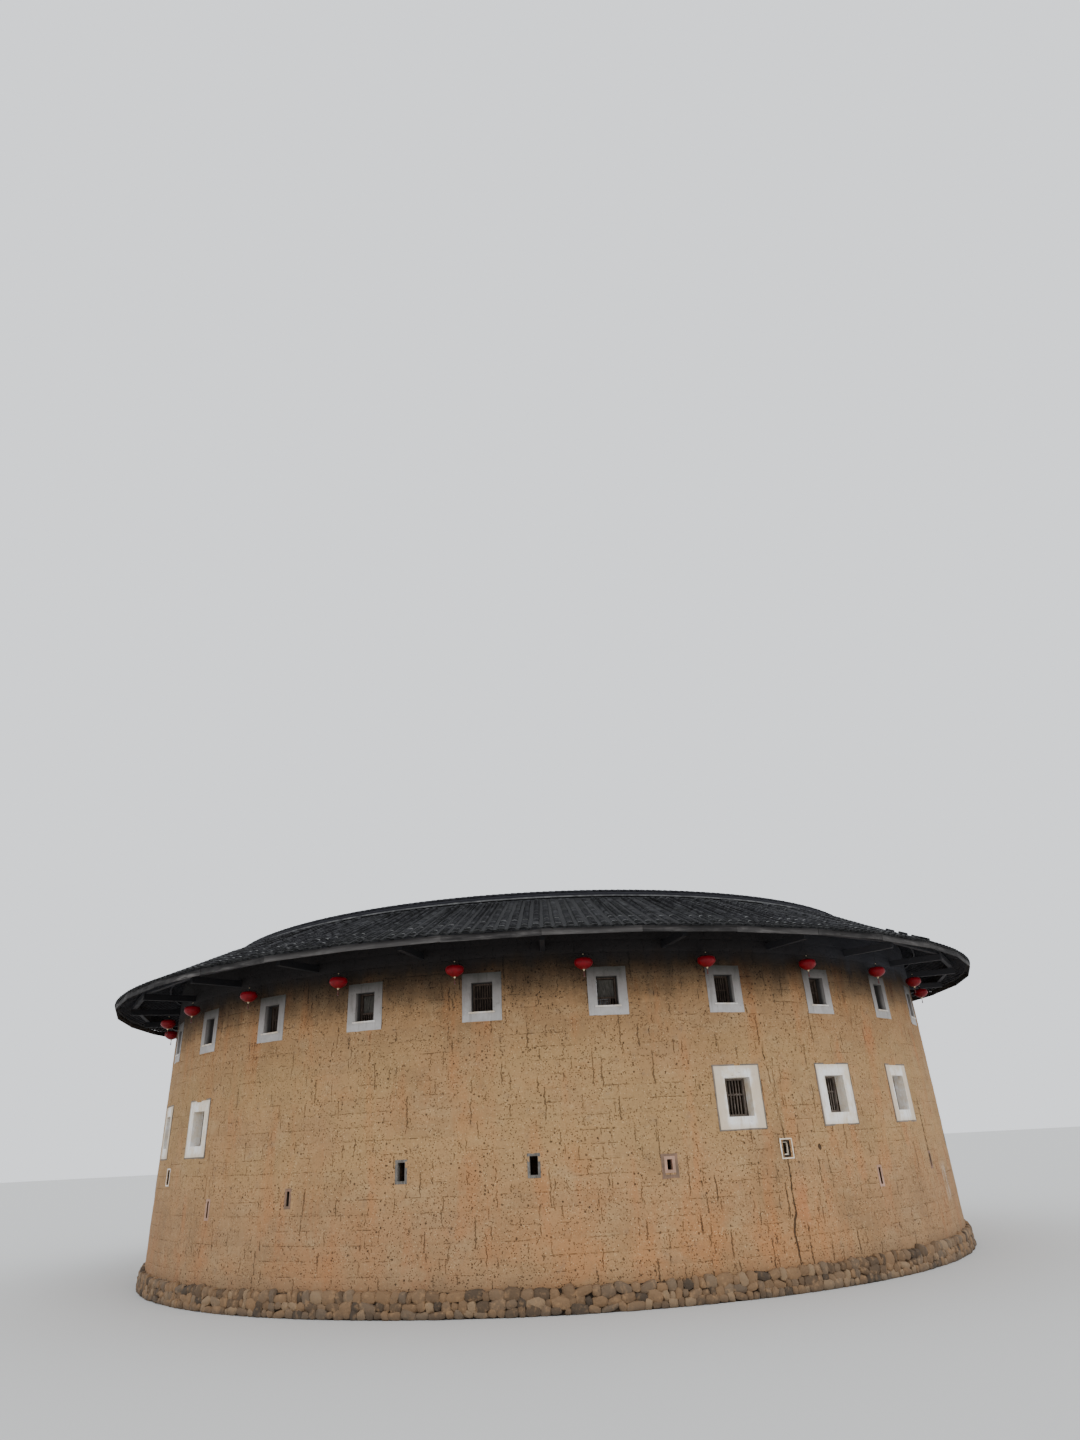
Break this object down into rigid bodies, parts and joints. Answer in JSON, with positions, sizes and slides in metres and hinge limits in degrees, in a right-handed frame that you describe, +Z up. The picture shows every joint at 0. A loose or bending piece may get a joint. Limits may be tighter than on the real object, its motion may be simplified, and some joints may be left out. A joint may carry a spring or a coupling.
{
  "type": "round earth house",
  "caption": "Round tulou-style earth house: a ring of windowed rammed-earth wall on a rubble plinth, timber galleries round an open court, a tiled ring roof and hanging lanterns.",
  "frame": {"origin": "on the ground at the centre of the round courtyard", "axes": "+Z up; -Y towards the viewer of the pictured side; the gate is on -X"},
  "size_m": [38.16, 38.16, 12.4076],
  "materials": {
    "rubble": "rough mortared field stone",
    "earth": "weathered yellow-ochre rammed earth with lime plaster round the windows",
    "dressed_stone": "dressed grey stone",
    "board": "weathered sawn boards",
    "timber": "dark smoke-stained timber",
    "roof_tile": "dark grey fired clay tiles",
    "lantern_silk": "red silk over ribs"
  },
  "bodies": {
    "root": {"stone_plinth": "rubble", "earth_wall_01": "earth", "earth_wall_02": "earth", "earth_wall_03": "earth", "earth_wall_04": "earth", "earth_wall_05": "earth", "earth_wall_06": "earth", "earth_wall_07": "earth", "earth_wall_08": "earth", "earth_wall_09": "earth", "earth_wall_10": "earth", "earth_wall_11": "earth", "earth_wall_12": "earth", "earth_wall_13": "earth", "gate_surround": "dressed_stone", "gate_leaf_left": "board", "gate_leaf_right": "board", "ground_floor": "rubble", "second_floor": "board", "second_floor_parapet": "board", "third_floor": "board", "third_floor_parapet": "board", "timber_frame_01": "timber", "timber_frame_02": "timber", "timber_frame_03": "timber", "timber_frame_04": "timber", "timber_frame_05": "timber", "timber_frame_06": "timber", "timber_frame_07": "timber", "timber_frame_08": "timber", "timber_frame_09": "timber", "timber_frame_10": "timber", "timber_frame_11": "timber", "timber_frame_12": "timber", "timber_frame_13": "timber", "outer_eave_purlin": "timber", "inner_eave_purlin": "timber", "room_purlin": "timber", "ridge_purlin": "timber", "wall_plate": "timber", "outer_roof": "roof_tile", "inner_roof": "roof_tile", "roof_ridge": "roof_tile", "outer_fascia": "board", "inner_fascia": "board", "eave_lanterns": "lantern_silk"}
  },
  "joints": []
}
